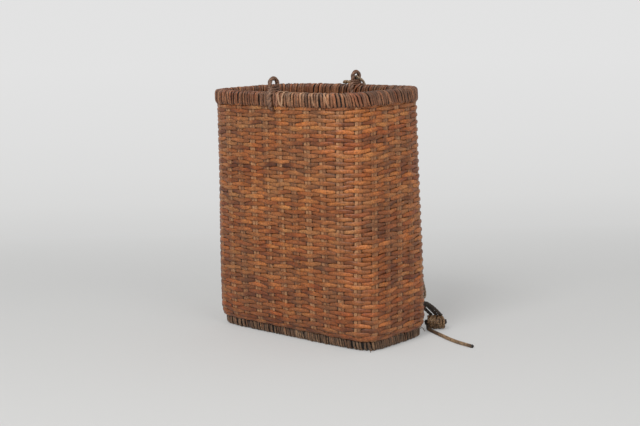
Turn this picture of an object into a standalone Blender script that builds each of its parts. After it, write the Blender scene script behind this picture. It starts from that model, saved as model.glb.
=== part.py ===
"""A rattan carrying basket: a woven wall on paired stakes, wrapped hoops at its rim and
base, two standing rings round the rim, and a carrying cord tied behind it.

Metres, +Z up. The origin is on the standing surface, under the middle of the basket.
The near wide side faces -Y, and the cord hangs on the +Y side.
"""

import bisect
import functools
import math

import bmesh
import bpy
from mathutils import Vector

# The body: a rounded rectangle that turns from long and square below to an oval above.
# A higher squareness makes squarer corners: 2 is an ellipse, 10 is nearly a rectangle.
HEIGHT = 0.420
BASE_LENGTH = 0.362
BASE_DEPTH = 0.164
BASE_SQUARENESS = 8.0
MIDDLE_LENGTH = 0.348
MIDDLE_DEPTH = 0.201
MIDDLE_SQUARENESS = 4.9
TOP_LENGTH = 0.316
TOP_DEPTH = 0.224
TOP_SQUARENESS = 4.8

# The weave: flat weft strands over and under upright stakes, each a pair of split canes.
WEAVE_THICKNESS = 0.0052
STAKE_PAIRS = 32
STAKE_WIDTH = 0.0120
STAKE_THICKNESS = 0.0022
STAKE_PHASE = 0.84  # where the first pair stands, in stake spacings from the middle of the back
STAKE_LEAN = 0.82  # how far round the body each pair leans on its way up, in stake spacings
TUCK_IN = 0.0050  # how far the wall draws in at its foot, to meet the base hoop
TUCK_HEIGHT = 0.018

# The foot: a hoop lashed under the wall, and the woven floor that lies on it.
BASE_HOOP_INSET = 0.0050  # from the line of the wall to the outside of the wrapped hoop
BASE_HOOP_THICKNESS = 0.0080
BASE_HOOP_HEIGHT = 0.0145
BASE_BINDING = 0.0013
BASE_HOOP_EDGE = 0.0022
FOOT_EDGE = 0.0026
PANEL_THICKNESS = 0.0045

# The rim: a hoop on each face of the weave, under one close binding.
RIM_HOOP_THICKNESS = 0.0024
RIM_HOOP_HEIGHT = 0.0205
RIM_BINDING = 0.0012
HOOP_EDGE = 0.0010
RIM_UPPER_EDGE = 0.0020
RIM_LOWER_EDGE = 0.0013

# The two rings of cane that stand up from the rim.
RING_ROD = 0.0066
RING_RISE = 0.0258  # from the top of the rim to the top of the ring
RING_TURN = 0.0046  # of the rod's middle line where it bends in under the rim
RING_NECK = 0.0088  # half the way between the middles of the two legs above the rim
RING_NECK_RISE = 0.0045  # from the top of the rim to where the neck starts
FRONT_RING_SHARE = 0.67  # of the way from one stake pair to the next
BACK_RING_SHARE = 0.425

# The carrying cord, the strands that tie it at the corner, and its knot and loose end.
CORD = 0.0050
TIE_STRAND = 0.0040
KNOT_STRAND = 0.0048
KNOT_TURNS = 5
KNOT_PITCH = 0.0055
KNOT_END_RADIUS = 0.0072  # of the middle line of the outermost turns
KNOT_SWELL = 0.0028  # how much wider the middle turns lie
KNOT_CORE_STUB = 0.0022  # what shows of the core past the outermost turns

FIT = 0.0003  # between two pieces that touch
STAKE_CLEARANCE = 0.0005  # round a stake in its channel in the weave
WEAVE_CLEARANCE = 0.0008  # between the uneven inside of the weave and what lies on it
OUTSIDE_CLEARANCE = 0.0005  # between the outside of the weave and the hoop on it
ROD_CLEARANCE = 0.0005  # between the rod of a ring and the rim that it goes round
WINDOW_CLEARANCE = 0.0007  # round a rod that passes through the weave
TAIL_CLEARANCE = 0.0012  # from the last turn of the knot to the start of the loose end

QUARTER = math.pi / 2

# The foot of the wall stands on the wrapped base hoop.
FOOT_BAND_HEIGHT = BASE_BINDING + FIT + BASE_HOOP_HEIGHT
WALL_FOOT = FOOT_BAND_HEIGHT + FIT
FOOT_BAND_MIDDLE = BASE_HOOP_INSET + BASE_BINDING + FIT + BASE_HOOP_THICKNESS / 2
# The rim, from its top down.
RIM_HOOP_TOP = HEIGHT - RIM_BINDING - FIT
RIM_HOOP_FOOT = RIM_HOOP_TOP - RIM_HOOP_HEIGHT
RIM_FOOT = RIM_HOOP_FOOT - FIT - RIM_BINDING
WALL_TOP = RIM_HOOP_TOP
# The faces of the rim, as distances in from the outside of the weave.
OUTER_HOOP_IN = -OUTSIDE_CLEARANCE
OUTER_HOOP_OUT = OUTER_HOOP_IN - RIM_HOOP_THICKNESS
RIM_OUT = OUTER_HOOP_OUT - FIT - RIM_BINDING
INNER_HOOP_OUT = WEAVE_THICKNESS + WEAVE_CLEARANCE
INNER_HOOP_IN = INNER_HOOP_OUT + RIM_HOOP_THICKNESS
RIM_IN = INNER_HOOP_IN + FIT + RIM_BINDING
# The rods of the rings pass through the weave right under the rim.
RING_PASS = RIM_FOOT - ROD_CLEARANCE - RING_ROD / 2

# A ring of the body is drawn through this many points, crowded together at the corners.
ROUND_POINTS = 40
CROWDING = 0.40
BANDS_ABOVE_TUCK = 4
BANDS_IN_TUCK = 2
TABLE_STEPS = 1440
SPACES_BETWEEN_STAKES = 3
CORD_STEP = 2.5  # in cord diameters
FINE_PARTS = 24
SHARP_TURN = 0.30
REAL_EDGE = 0.6

# The route of one half of the carrying cord, up the back from where it comes out of the
# weave: the shares of the half length and of the height there, and the ways off the weave.
CORD_LEG_SHARES = (
    (0.911, 0.150),
    (0.911, 0.151),
    (0.903, 0.163),
    (0.888, 0.184),
    (0.832, 0.246),
    (0.707, 0.362),
    (0.571, 0.506),
    (0.431, 0.649),
    (0.284, 0.792),
    (0.168, 0.913),
)
CORD_OFF_WEAVE = (0.0009, 0.0042, 0.0060, 0.0062, 0.0056, 0.0048, 0.0044, 0.0041, 0.0047, 0.0089)
CORD_UNDER_CROWN = 0.0022  # between the cord and the underside of the ring it goes through
# Then over the edge of the rim to the ring: aside from the ring, out from the weave, and
# above the top of the rim.
CORD_AT_RIM = (
    (0.0142, 0.0105, -0.0105),
    (0.0090, 0.0100, 0.0003),
    (0.0073, 0.0068, 0.0064),
    (0.0046, 0.0014, 0.0108),
)
# The knot lies on the standing surface behind the right corner of the foot. These places
# are aside from the corner and behind it.
KNOT_START = (-0.0300, 0.0225)
KNOT_END = (-0.0040, 0.0455)
TAIL_ROUTE = (
    (-0.0037, 0.0092),
    (0.0120, 0.0018),
    (0.0298, -0.0065),
    (0.0475, -0.0146),
    (0.0649, -0.0210),
    (0.0850, -0.0264),
    (0.1053, -0.0301),
)
# Each tie strand leaves the weave at these shares of the half length and of the height,
# and reaches the knot this far along it and across it.
TIE_SHARES = ((0.862, 0.112), (0.884, 0.120), (0.905, 0.128))
TIE_PLACES = ((0.0090, -0.0022), (0.0176, -0.0002), (0.0258, 0.0018))
TIE_OFF_WEAVE = 0.0009
TIE_LIFT = (0.0030, 0.0095, -0.0028)  # the way each strand first goes from the weave
TIE_DROP = (-0.0026, -0.0150, 0.0140)  # how it comes down on the knot
TIE_OVER_KNOT = 0.0016

# Colours are linear red, green and blue, as seen on the dry, smoke-darkened cane.
CANE_WALL = (0.250, 0.095, 0.032, 1.0)
CANE_STAKE = (0.200, 0.085, 0.035, 1.0)
CANE_FLOOR = (0.180, 0.075, 0.030, 1.0)
CANE_RIM = (0.110, 0.060, 0.035, 1.0)
CANE_FOOT = (0.075, 0.045, 0.028, 1.0)
CANE_RING = (0.130, 0.065, 0.035, 1.0)
CORD_TAN = (0.200, 0.130, 0.075, 1.0)
CORD_DARK = (0.050, 0.038, 0.030, 1.0)


def clear_scene():
    for old in list(bpy.data.objects):
        bpy.data.objects.remove(old, do_unlink=True)


def collection(name):
    made = bpy.data.collections.new(name)
    bpy.context.scene.collection.children.link(made)
    return made


def material(name, colour, roughness):
    made = bpy.data.materials.new(name)
    made.use_nodes = True
    shader = made.node_tree.nodes["Principled BSDF"]
    shader.inputs["Base Color"].default_value = colour
    shader.inputs["Roughness"].default_value = roughness
    shader.inputs["Metallic"].default_value = 0.0
    return made


def at_height(height, base, middle, top):
    """A size of the body at a height, on the smooth curve through its three named values."""
    share = height / HEIGHT
    return (
        base * (1 - share) * (1 - 2 * share)
        + middle * 4 * share * (1 - share)
        + top * share * (2 * share - 1)
    )


def powered(value, power):
    return math.copysign(abs(value) ** power, value)


def skin(height, angle, inward=0.0, drawn_in=0.0):
    """A point of the body at a height. The outline there is made smaller all round by
    drawn_in, and the point lies inward from that outline, square to it."""
    half_length = at_height(height, BASE_LENGTH, MIDDLE_LENGTH, TOP_LENGTH) / 2 - drawn_in
    half_depth = at_height(height, BASE_DEPTH, MIDDLE_DEPTH, TOP_DEPTH) / 2 - drawn_in
    squareness = at_height(height, BASE_SQUARENESS, MIDDLE_SQUARENESS, TOP_SQUARENESS)
    along, across = math.cos(angle), math.sin(angle)
    size = (abs(along) ** squareness + abs(across) ** squareness) ** (1 / squareness)
    along, across = along / size, across / size
    point = Vector((half_length * along, half_depth * across, height))
    steepness = squareness - 1
    square = Vector((powered(along, steepness) / half_length, powered(across, steepness) / half_depth, 0))
    return point - square.normalized() * inward


@functools.lru_cache(maxsize=None)
def angle_table(height):
    """Angles right round from the middle of the back, with the distance gone at each."""
    angles = [QUARTER + math.tau * step / TABLE_STEPS for step in range(TABLE_STEPS + 1)]
    gone = [0.0]
    for before, after in zip(angles, angles[1:]):
        gone.append(gone[-1] + (skin(height, after) - skin(height, before)).length)
    return angles, gone


def angle_at(height, distance):
    """The angle of the point that lies this far round from the middle of the back."""
    angles, gone = angle_table(height)
    distance %= gone[-1]
    low, high = 0, TABLE_STEPS
    while high - low > 1:
        middle = (low + high) // 2
        if gone[middle] <= distance:
            low = middle
        else:
            high = middle
    share = (distance - gone[low]) / (gone[high] - gone[low])
    return angles[low] + share * (angles[high] - angles[low])


def stake_spacings(height, number):
    """How far round a stake stands at a height, in stake spacings from the middle of the back."""
    return number + STAKE_PHASE + STAKE_LEAN * height / HEIGHT


def stake_place(height, number):
    return angle_table(height)[1][-1] * stake_spacings(height, number) / STAKE_PAIRS


def tuck(height):
    """How far the weave has drawn in from the line of the body, near its foot."""
    left = max(0.0, 1 - (height - WALL_FOOT) / TUCK_HEIGHT)
    return TUCK_IN * left * left


def wall_heights():
    low = [WALL_FOOT + TUCK_HEIGHT * step / BANDS_IN_TUCK for step in range(BANDS_IN_TUCK)]
    start = WALL_FOOT + TUCK_HEIGHT
    rest = WALL_TOP - start
    return low + [start + rest * step / BANDS_ABOVE_TUCK for step in range(BANDS_ABOVE_TUCK + 1)]


def round_angles():
    angles = []
    for step in range(ROUND_POINTS):
        even = math.tau * (step + 0.5) / ROUND_POINTS
        angles.append(math.atan2(powered(math.sin(even), CROWDING), powered(math.cos(even), CROWDING)))
    return angles


def add_ring(bm, points):
    return [bm.verts.new(point) for point in points]


def join_rings(bm, lower, upper):
    for index in range(len(lower)):
        after = (index + 1) % len(lower)
        bm.faces.new((lower[index], lower[after], upper[after], upper[index]))


def loop_edges(bm, ring):
    return [bm.edges.get((ring[index - 1], ring[index])) for index in range(len(ring))]


def finish(bm, name, look, folder):
    """Makes the object, shaded smooth but for its real edges."""
    bmesh.ops.recalc_face_normals(bm, faces=bm.faces)
    mesh = bpy.data.meshes.new(name)
    bm.to_mesh(mesh)
    bm.free()
    mesh.shade_smooth()
    mesh.set_sharp_from_angle(angle=REAL_EDGE)
    made = bpy.data.objects.new(name, mesh)
    made.data.materials.append(look)
    folder.objects.link(made)
    return made


def band_round_body(name, section, look, folder, drawn_in=0.0):
    """A closed band round the body. Its section is a list of (inward, height) points."""
    bm = bmesh.new()
    rings = [
        add_ring(bm, [skin(height, angle, inward, drawn_in) for inward, height in section])
        for angle in round_angles()
    ]
    for index, ring in enumerate(rings):
        join_rings(bm, rings[index - 1], ring)
    return finish(bm, name, look, folder)


def rounded_section(out, inside, foot, top, corner):
    """A rectangle of (inward, height) points with its corners cut."""
    return [
        (out, foot + corner),
        (out, top - corner),
        (out + corner, top),
        (inside - corner, top),
        (inside, top - corner),
        (inside, foot + corner),
        (inside - corner, foot),
        (out + corner, foot),
    ]


def inside_ring(height):
    """The inner outline of the weave at a height, with an upright channel for each stake."""
    points = []
    face = tuck(height) + WEAVE_THICKNESS
    channel = face - STAKE_THICKNESS - STAKE_CLEARANCE
    half = STAKE_WIDTH / 2 + STAKE_CLEARANCE
    for number in range(STAKE_PAIRS):
        middle = stake_place(height, number)
        start, end = angle_at(height, middle - half), angle_at(height, middle + half)
        points.append(skin(height, start, face))
        points.append(skin(height, start, channel))
        points.append(skin(height, end, channel))
        points.append(skin(height, end, face))
        gap_start = middle + half
        gap = stake_place(height, number + 1) - half - gap_start
        for step in range(1, SPACES_BETWEEN_STAKES):
            place = gap_start + gap * step / SPACES_BETWEEN_STAKES
            points.append(skin(height, angle_at(height, place), face))
    return points


def woven_wall(look, folder, cutters):
    """The whole woven side in one: its true outside and inside, the stake channels on the
    inside, and a window under the rim for the rod of each standing ring."""
    bm = bmesh.new()
    outside, inside = [], []
    for height in wall_heights():
        outside.append(add_ring(bm, [skin(height, angle, tuck(height)) for angle in round_angles()]))
        inside.append(add_ring(bm, inside_ring(height)))
    for rings in (outside, inside):
        for lower, upper in zip(rings, rings[1:]):
            join_rings(bm, lower, upper)
    for end in (0, -1):
        edges = loop_edges(bm, outside[end]) + loop_edges(bm, inside[end])
        bmesh.ops.triangle_fill(bm, edges=edges, use_beauty=True)
    wall = finish(bm, "woven_wall", look, folder)
    for cutter in cutters:
        cut = wall.modifiers.new("window for " + cutter.name, "BOOLEAN")
        cut.operation = "DIFFERENCE"
        cut.object = cutter
    return wall


def stake_pair(number, look, folder):
    """Two split canes side by side, standing in the weave from its foot to the rim."""
    bm = bmesh.new()
    rings = []
    for height in wall_heights():
        middle = stake_place(height, number)
        inner = tuck(height) + WEAVE_THICKNESS
        outer = inner - STAKE_THICKNESS
        start = angle_at(height, middle - STAKE_WIDTH / 2)
        end = angle_at(height, middle + STAKE_WIDTH / 2)
        corners = ((start, inner), (start, outer), (end, outer), (end, inner))
        rings.append(add_ring(bm, [skin(height, angle, inward) for angle, inward in corners]))
    for lower, upper in zip(rings, rings[1:]):
        join_rings(bm, lower, upper)
    bm.faces.new(rings[0])
    bm.faces.new(rings[-1])
    return finish(bm, f"stake_pair_{number + 1:02d}", look, folder)


def base_panel(look, folder):
    """The woven floor, lying on the base hoop inside the foot of the wall."""
    bm = bmesh.new()
    edge = TUCK_IN + WEAVE_THICKNESS + WEAVE_CLEARANCE
    rings = [
        add_ring(bm, [skin(height, angle, edge) for angle in round_angles()])
        for height in (WALL_FOOT, WALL_FOOT + PANEL_THICKNESS)
    ]
    join_rings(bm, *rings)
    for ring in rings:
        bm.faces.new(ring)
    return finish(bm, "base_panel", look, folder)


def base_hoop_and_binding(hoop_look, binding_look, folder):
    """The hoop, and its binding as a channel that is open where the wall stands on it."""
    half = BASE_HOOP_THICKNESS / 2
    foot = BASE_BINDING + FIT
    hoop = rounded_section(-half, half, foot, foot + BASE_HOOP_HEIGHT, BASE_HOOP_EDGE)
    inner, outer = half + FIT, half + FIT + BASE_BINDING
    channel = [
        (-outer, FOOT_EDGE),
        (-outer, FOOT_BAND_HEIGHT),
        (-inner, FOOT_BAND_HEIGHT),
        (-inner, foot - FIT),
        (inner, foot - FIT),
        (inner, FOOT_BAND_HEIGHT),
        (outer, FOOT_BAND_HEIGHT),
        (outer, FOOT_EDGE),
        (outer - FOOT_EDGE, 0.0),
        (-outer + FOOT_EDGE, 0.0),
    ]
    band_round_body("base_hoop", hoop, hoop_look, folder, FOOT_BAND_MIDDLE)
    band_round_body("base_binding", channel, binding_look, folder, FOOT_BAND_MIDDLE)


def rim(hoop_look, binding_look, folder):
    """A hoop on each side of the weave, and the binding over both and in under them."""
    outer_hoop = rounded_section(OUTER_HOOP_OUT, OUTER_HOOP_IN, RIM_HOOP_FOOT, RIM_HOOP_TOP, HOOP_EDGE)
    inner_hoop = rounded_section(INNER_HOOP_OUT, INNER_HOOP_IN, RIM_HOOP_FOOT, RIM_HOOP_TOP, HOOP_EDGE)
    binding = [
        (OUTER_HOOP_IN, RIM_FOOT),
        (OUTER_HOOP_IN, RIM_FOOT + RIM_BINDING),
        (OUTER_HOOP_OUT - FIT, RIM_FOOT + RIM_BINDING),
        (OUTER_HOOP_OUT - FIT, RIM_HOOP_TOP + FIT),
        (INNER_HOOP_IN + FIT, RIM_HOOP_TOP + FIT),
        (INNER_HOOP_IN + FIT, RIM_FOOT + RIM_BINDING),
        (INNER_HOOP_OUT, RIM_FOOT + RIM_BINDING),
        (INNER_HOOP_OUT, RIM_FOOT),
        (RIM_IN - RIM_LOWER_EDGE, RIM_FOOT),
        (RIM_IN, RIM_FOOT + RIM_LOWER_EDGE),
        (RIM_IN, HEIGHT - RIM_UPPER_EDGE),
        (RIM_IN - RIM_UPPER_EDGE, HEIGHT),
        (RIM_OUT + RIM_UPPER_EDGE, HEIGHT),
        (RIM_OUT, HEIGHT - RIM_UPPER_EDGE),
        (RIM_OUT, RIM_FOOT + RIM_LOWER_EDGE),
        (RIM_OUT + RIM_LOWER_EDGE, RIM_FOOT),
    ]
    band_round_body("rim_outer_hoop", outer_hoop, hoop_look, folder)
    band_round_body("rim_inner_hoop", inner_hoop, hoop_look, folder)
    band_round_body("rim_binding", binding, binding_look, folder)


def smooth_route(points, step):
    """Points about step apart on a smooth curve through the route's own points, and three
    times closer where it bends most."""
    points = [Vector(point) for point in points]
    ends = [2 * points[0] - points[1]] + points + [2 * points[-1] - points[-2]]
    fine = []
    for before, start, end, after in zip(ends, ends[1:], ends[2:], ends[3:]):
        for part in range(FINE_PARTS):
            t = part / FINE_PARTS
            fine.append(
                0.5
                * (
                    2 * start
                    + (end - before) * t
                    + (2 * before - 5 * start + 4 * end - after) * t * t
                    + (3 * start - before - 3 * end + after) * t * t * t
                )
            )
    fine.append(points[-1])
    gone = [0.0]
    for before, after in zip(fine, fine[1:]):
        gone.append(gone[-1] + (after - before).length)

    def piece(distance):
        """The number of the fine piece that this distance along the curve falls in."""
        return max(0, min(len(fine) - 2, bisect.bisect_left(gone, distance) - 1))

    count = max(2, round(gone[-1] / step))
    stations = []
    for number in range(count):
        low, high = (gone[-1] * at / count for at in (number, number + 1))
        first, last = piece(low), piece(high)
        turn = (fine[first + 1] - fine[first]).angle(fine[last + 1] - fine[last])
        parts = 3 if turn > SHARP_TURN else 1
        stations += [low + (high - low) * part / parts for part in range(parts)]
    route = []
    for distance in [*stations, gone[-1]]:
        index = piece(distance)
        share = (distance - gone[index]) / (gone[index + 1] - gone[index])
        route.append(fine[index].lerp(fine[index + 1], share))
    return route


def tube(name, points, diameter, look, folder, sides=2, closed=False):
    """A round rod or strand along points, with flat ends unless it closes on itself."""
    curve = bpy.data.curves.new(name, "CURVE")
    curve.dimensions = "3D"
    curve.bevel_depth = diameter / 2
    curve.bevel_resolution = sides
    curve.use_fill_caps = not closed
    spline = curve.splines.new("POLY")
    spline.points.add(len(points) - 1)
    for spot, point in zip(spline.points, points):
        spot.co = (*point, 1.0)
    spline.use_cyclic_u = closed
    made = bpy.data.objects.new(name, curve)
    curve.materials.append(look)
    folder.objects.link(made)
    return made


def report_least_gap(name, points, diameter):
    """Prints the least gap between the turns of a winding."""
    reach = 0.0
    far = [0.0]
    for before, after in zip(points, points[1:]):
        reach += (after - before).length
        far.append(reach)
    least = min(
        (points[i] - points[j]).length - diameter
        for i in range(len(points))
        for j in range(i + 1, len(points))
        if far[j] - far[i] > 3 * diameter
    )
    print(f"{name}: least gap to itself {least * 1000:.2f} mm")


def by_the_rim(place, outward, height, aside=0.0):
    """The point this far out from the weave, in line with the lean of the rim, and the way
    out there. The place is in stake spacings from the middle of the back."""
    around = angle_table(RIM_HOOP_TOP)[1][-1]
    angle = angle_at(RIM_HOOP_TOP, around * place / STAKE_PAIRS + aside)
    foot, top = skin(RIM_FOOT, angle), skin(RIM_HOOP_TOP, angle)
    out = (top - skin(RIM_HOOP_TOP, angle, 1.0)).normalized()
    share = (height - RIM_FOOT) / (RIM_HOOP_TOP - RIM_FOOT)
    return foot + (top - foot) * share + out * outward, out


def behind(share, off, height_share):
    """The point this far off the back of the weave, at a share of the half length there.
    A negative share is on the left of the middle."""
    height = HEIGHT * height_share
    squareness = at_height(height, BASE_SQUARENESS, MIDDLE_SQUARENESS, TOP_SQUARENESS)
    across = (1 - abs(share) ** squareness) ** (1 / squareness)
    return skin(height, math.atan2(across, share), -off)


# The legs of a ring, as distances outward from the outside of the weave.
OUTER_LEG = -RIM_OUT + ROD_CLEARANCE + RING_ROD / 2
INNER_LEG = -RIM_IN - ROD_CLEARANCE - RING_ROD / 2
RING_MIDDLE = (OUTER_LEG + INNER_LEG) / 2
FRONT_PLACE = stake_spacings(RING_PASS, STAKE_PAIRS // 2 - 2) + FRONT_RING_SHARE
BACK_PLACE = stake_spacings(RING_PASS, -2) + BACK_RING_SHARE
CORD_IN_EYE = HEIGHT + RING_RISE - RING_ROD - CORD_UNDER_CROWN - CORD / 2


def part_circle(start, end, steps):
    return [start + (end - start) * step / steps for step in range(steps + 1)]


def standing_ring(name, place, look, folder):
    """A rod bent right round the rim: through the weave under it, up both faces, and over
    it in an arch that stands above the rim."""
    points = []
    for centre, start in ((INNER_LEG + RING_TURN, -2 * QUARTER), (OUTER_LEG - RING_TURN, -QUARTER)):
        for angle in part_circle(start, start + QUARTER, 3):
            rise = RING_TURN * (1 + math.sin(angle))
            points.append((centre + RING_TURN * math.cos(angle), RING_PASS + rise))
    neck = HEIGHT + RING_NECK_RISE
    arch = HEIGHT + RING_RISE - RING_ROD / 2 - RING_NECK
    points += [(OUTER_LEG, HEIGHT - RIM_UPPER_EDGE), (RING_MIDDLE + RING_NECK, neck)]
    for angle in part_circle(0.0, 2 * QUARTER, 8):
        points.append((RING_MIDDLE + RING_NECK * math.cos(angle), arch + RING_NECK * math.sin(angle)))
    points += [(RING_MIDDLE - RING_NECK, neck), (INNER_LEG, HEIGHT - RIM_UPPER_EDGE)]
    route = [by_the_rim(place, outward, height)[0] for outward, height in points]
    tube(name, route, RING_ROD, look, folder, closed=True)


def window_cutter(name, place, folder):
    """A block that clears the way of a ring's rod through the weave."""
    middle, out = by_the_rim(place, -WEAVE_THICKNESS / 2, RING_PASS)
    width = RING_ROD + 2 * WINDOW_CLEARANCE
    bm = bmesh.new()
    bmesh.ops.create_cube(bm, size=1.0)
    bmesh.ops.scale(bm, vec=(width, WEAVE_THICKNESS * 3, width), verts=bm.verts)
    mesh = bpy.data.meshes.new(name)
    bm.to_mesh(mesh)
    bm.free()
    made = bpy.data.objects.new(name, mesh)
    made.location = middle
    made.rotation_euler = (0, 0, math.atan2(out.y, out.x) - QUARTER)
    made.hide_render = True
    made.display_type = "WIRE"
    folder.objects.link(made)
    return made


def carrying_cord(look, folder):
    """One cord from corner to corner of the back, up through the eye of the back ring."""
    eye, _ = by_the_rim(BACK_PLACE, RING_MIDDLE, CORD_IN_EYE)
    right, left = [], []
    for (share, height), off in zip(CORD_LEG_SHARES, CORD_OFF_WEAVE):
        right.append(behind(share, off, height))
        left.append(behind(-share, off, height))
    for aside, outward, above in CORD_AT_RIM:
        right.append(by_the_rim(BACK_PLACE, outward, HEIGHT + above, -aside)[0])
        left.append(by_the_rim(BACK_PLACE, outward, HEIGHT + above, aside)[0])
    route = smooth_route([*right, eye, *reversed(left)], CORD_STEP * CORD)
    tube("carrying_cord", route, CORD, look, folder)


# The knot's middle line lies this high, so that its widest turn touches the surface.
KNOT_HEIGHT = FIT + KNOT_STRAND / 2 + KNOT_END_RADIUS + KNOT_SWELL


def behind_the_corner(place, height):
    aside, back = place
    return Vector((BASE_LENGTH / 2 + aside, BASE_DEPTH / 2 + back, height))


def knot_lines():
    """Where the knot's middle line starts, the ways along, up and across it, its length,
    and how far along it the winding starts."""
    start, end = behind_the_corner(KNOT_START, KNOT_HEIGHT), behind_the_corner(KNOT_END, KNOT_HEIGHT)
    along, up = (end - start).normalized(), Vector((0, 0, 1))
    length = (end - start).length
    return start, along, up, along.cross(up), length, (length - KNOT_TURNS * KNOT_PITCH) / 2


def knot_radius(share):
    """The middle line of the wrapping strand, from one end of the knot to the other."""
    return KNOT_END_RADIUS + KNOT_SWELL * math.sin(math.pi * min(1.0, max(0.0, share)))


def knot_wrapping(look, folder):
    """A strand wound close round the gathered ends of the tie strands."""
    start, along, up, across, length, first = knot_lines()
    per_turn = 24
    points = []
    for step in range(KNOT_TURNS * per_turn + 1):
        way = first + KNOT_PITCH * step / per_turn
        angle = math.tau * step / per_turn
        spoke = across * math.cos(angle) + up * math.sin(angle)
        points.append(start + along * way + spoke * knot_radius(way / length))
    report_least_gap("knot_wrapping", points, KNOT_STRAND)
    tube("knot_wrapping", points, KNOT_STRAND, look, folder, sides=1)


def knot_core(look, folder):
    """What the strand is wound round, with its ends showing."""
    start, along, up, across, length, first = knot_lines()
    reach = first - KNOT_STRAND / 2 - KNOT_CORE_STUB
    spokes = [across * math.cos(angle) + up * math.sin(angle) for angle in part_circle(0, math.tau, 12)[1:]]
    sections = 8
    bm = bmesh.new()
    rings = []
    for section in range(sections + 1):
        way = reach + (length - 2 * reach) * section / sections
        radius = knot_radius(way / length) - KNOT_STRAND / 2 - FIT
        rings.append(add_ring(bm, [start + along * way + spoke * radius for spoke in spokes]))
    for lower, upper in zip(rings, rings[1:]):
        join_rings(bm, lower, upper)
    bm.faces.new(rings[0])
    bm.faces.new(rings[-1])
    finish(bm, "knot_core", look, folder)


def tie_strand(number, look, folder):
    """One of the strands from the weave down to the knot."""
    share, height = TIE_SHARES[number]
    way, aside = TIE_PLACES[number]
    start, along, up, across, length, _ = knot_lines()
    first = behind(share, TIE_OFF_WEAVE, height)
    rise = knot_radius(way / length) + KNOT_STRAND / 2 + TIE_OVER_KNOT
    last = start + along * way + across * aside + up * rise
    route = (first, first + Vector(TIE_LIFT), last + Vector(TIE_DROP), last)
    tube(f"tie_strand_{number + 1}", smooth_route(route, CORD_STEP * TIE_STRAND), TIE_STRAND, look, folder)


def cord_tail(look, folder):
    """The cord's loose end: down from the first turn of the knot, and away on the surface."""
    start, along, up, across, length, first = knot_lines()
    turn = KNOT_HEIGHT - CORD / 2 - FIT
    top = start + along * first + across * knot_radius(first / length)
    points = [top - up * TAIL_CLEARANCE]
    for angle in part_circle(0, QUARTER, 3)[1:-1]:
        points.append(top + across * turn * (1 - math.cos(angle)) - up * turn * math.sin(angle))
    points += [behind_the_corner(place, CORD / 2 + FIT) for place in TAIL_ROUTE]
    tube("cord_tail", smooth_route(points, CORD_STEP * CORD), CORD, look, folder)


def main():
    clear_scene()
    parts = collection("rattan_basket")
    helpers = collection("cutters")
    helpers.hide_render = True

    wall_look = material("woven cane", CANE_WALL, 0.55)
    stake_look = material("stake cane", CANE_STAKE, 0.55)
    floor_look = material("floor cane", CANE_FLOOR, 0.60)
    rim_look = material("rim cane", CANE_RIM, 0.60)
    foot_look = material("foot cane", CANE_FOOT, 0.65)
    ring_look = material("ring cane", CANE_RING, 0.55)
    cord_look = material("tan cord", CORD_TAN, 0.80)
    dark_look = material("dark cord", CORD_DARK, 0.80)

    rings = (("front_ring", FRONT_PLACE), ("back_ring", BACK_PLACE))
    cutters = [window_cutter(name + "_window", place, helpers) for name, place in rings]
    woven_wall(wall_look, parts, cutters)
    for number in range(STAKE_PAIRS):
        stake_pair(number, stake_look, parts)
    base_panel(floor_look, parts)
    base_hoop_and_binding(foot_look, foot_look, parts)
    rim(rim_look, rim_look, parts)
    for name, place in rings:
        standing_ring(name, place, ring_look, parts)

    carrying_cord(cord_look, parts)
    for number in range(len(TIE_PLACES)):
        tie_strand(number, dark_look, parts)
    knot_wrapping(cord_look, parts)
    knot_core(dark_look, parts)
    cord_tail(cord_look, parts)


main()
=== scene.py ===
import math

import bmesh
import bpy
import numpy as np
from mathutils import Matrix, Vector


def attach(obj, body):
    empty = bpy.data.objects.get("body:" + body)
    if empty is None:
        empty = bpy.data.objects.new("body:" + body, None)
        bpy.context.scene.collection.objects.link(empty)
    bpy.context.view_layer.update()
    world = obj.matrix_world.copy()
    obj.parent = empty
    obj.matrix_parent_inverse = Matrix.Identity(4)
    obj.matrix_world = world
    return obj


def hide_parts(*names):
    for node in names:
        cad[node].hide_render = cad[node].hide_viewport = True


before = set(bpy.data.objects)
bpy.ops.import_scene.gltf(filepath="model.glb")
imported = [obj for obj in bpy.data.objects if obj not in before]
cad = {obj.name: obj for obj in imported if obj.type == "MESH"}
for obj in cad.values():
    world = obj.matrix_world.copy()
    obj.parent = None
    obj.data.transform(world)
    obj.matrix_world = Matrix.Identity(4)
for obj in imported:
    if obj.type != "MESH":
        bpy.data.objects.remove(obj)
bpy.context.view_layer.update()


# ## Foot hoop and its binding
# A stout hoop of cane under the wall, lashed all round with flat split strips. The strips
# are dark, lean a little, and leave gaps where the bare hoop shows; painted shade darkens
# their edges.

HEIGHT = 0.420
LENGTHS, DEPTHS = (0.362, 0.348, 0.316), (0.164, 0.201, 0.224)  # at the foot, middle and top
SQUARENESSES = (8.0, 4.9, 4.8)
STAKE_PAIRS = 32
MAP_ROWS, MAP_COLUMNS = 42, 1360
FOOT_HOOP_INSET = 0.0106
FOOT_HOOP_HALF = 0.0050
FOOT_HOOP_TOP = 0.0162
FOOT_STRIP_WIDTH = 0.0047
FOOT_STRIP_THICKNESS = 0.0022
FOOT_TURNS = 186


def at_height(height, base, middle, top):
    """A size of the body at a height, on the smooth curve through its three values."""
    share = height / HEIGHT
    return base * (1 - share) * (1 - 2 * share) + middle * 4 * share * (1 - share) + top * share * (2 * share - 1)


def powered(value, power):
    return np.copysign(np.abs(value) ** power, value)


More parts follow.
